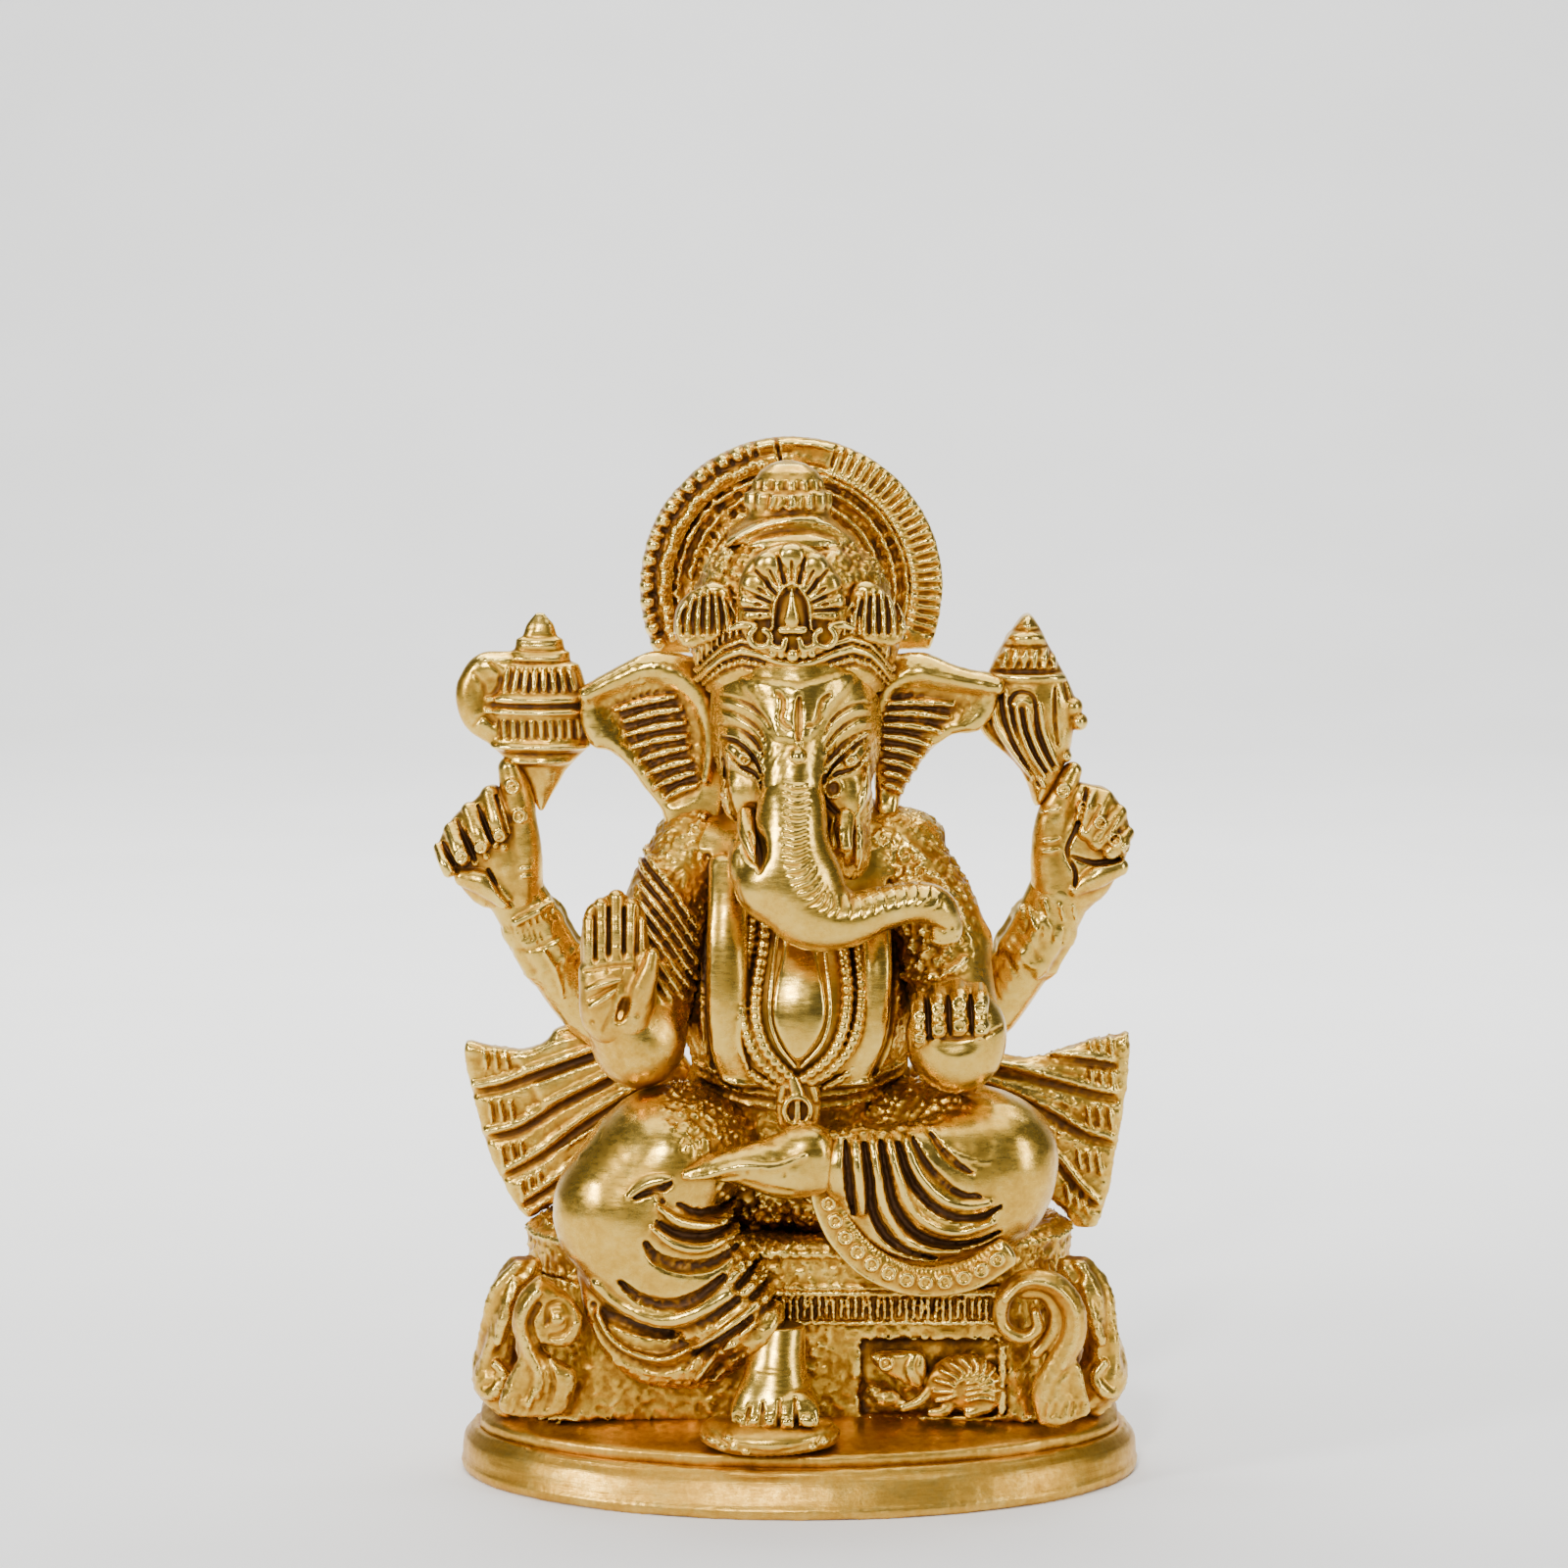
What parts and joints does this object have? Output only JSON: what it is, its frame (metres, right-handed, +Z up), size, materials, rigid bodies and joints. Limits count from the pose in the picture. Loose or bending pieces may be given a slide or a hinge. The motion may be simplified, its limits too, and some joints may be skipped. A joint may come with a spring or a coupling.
{
  "type": "ganesha idol",
  "caption": "Seated elephant-headed figure on an oval throne base with an arched halo, cast in brass with chased and matted ornament, for a shelf or shrine.",
  "frame": {"origin": "middle of the overall width and depth, at the underside of the base", "axes": "+Z up, -Y is the way the figure faces, +X towards the figure's left hand"},
  "size_m": [0.0856, 0.052, 0.127],
  "materials": {
    "figure_skin": "polished by hand on the raised surfaces, brown patina in the recesses",
    "figure_cloth": "chased pleats, polished on the ridges, brown patina in the grooves",
    "ornament": "chased and beaded, polished on the high points",
    "throne": "punched granular ground with dark patina, polished relief",
    "base_rim": "turned smooth and polished"
  },
  "bodies": {
    "root": {"base_plate": "base_rim", "upper_step": "throne", "foot_cushion": "throne", "throne_block": "throne", "seat_slab": "throne", "dentil_moulding": "throne", "right_leg_drape": "figure_cloth", "right_foot": "figure_skin", "left_leg_drape": "figure_cloth", "left_foot": "figure_skin", "hem_band": "figure_cloth", "torso": "figure_skin", "waist_cloth": "figure_cloth", "necklace": "ornament", "belly_jewel": "ornament", "pendant_ring": "ornament", "right_front_arm": "figure_skin", "right_front_hand": "figure_skin", "left_front_arm": "figure_skin", "left_front_hand": "figure_skin", "right_rear_arm": "figure_skin", "left_rear_arm": "figure_skin", "right_rear_hand": "figure_skin", "left_rear_hand": "figure_skin", "axe_head": "ornament", "conch_shell": "ornament", "right_sash_fan": "figure_cloth", "left_sash_fan": "figure_cloth", "head": "figure_skin", "trunk": "figure_skin", "right_tusk": "figure_skin", "left_tusk": "figure_skin", "right_ear": "figure_skin", "left_ear": "figure_skin", "tiara_band": "ornament", "crown_dome": "ornament", "crown_finial": "ornament", "tiara_plaque": "ornament", "right_tiara_crest": "ornament", "left_tiara_crest": "ornament", "halo_plate": "ornament", "halo_rim": "ornament", "right_throne_scroll": "throne", "left_throne_scroll": "throne", "right_end_curl": "throne", "left_end_curl": "throne", "mouse": "throne", "mouse_sweet": "throne"}
  },
  "joints": []
}
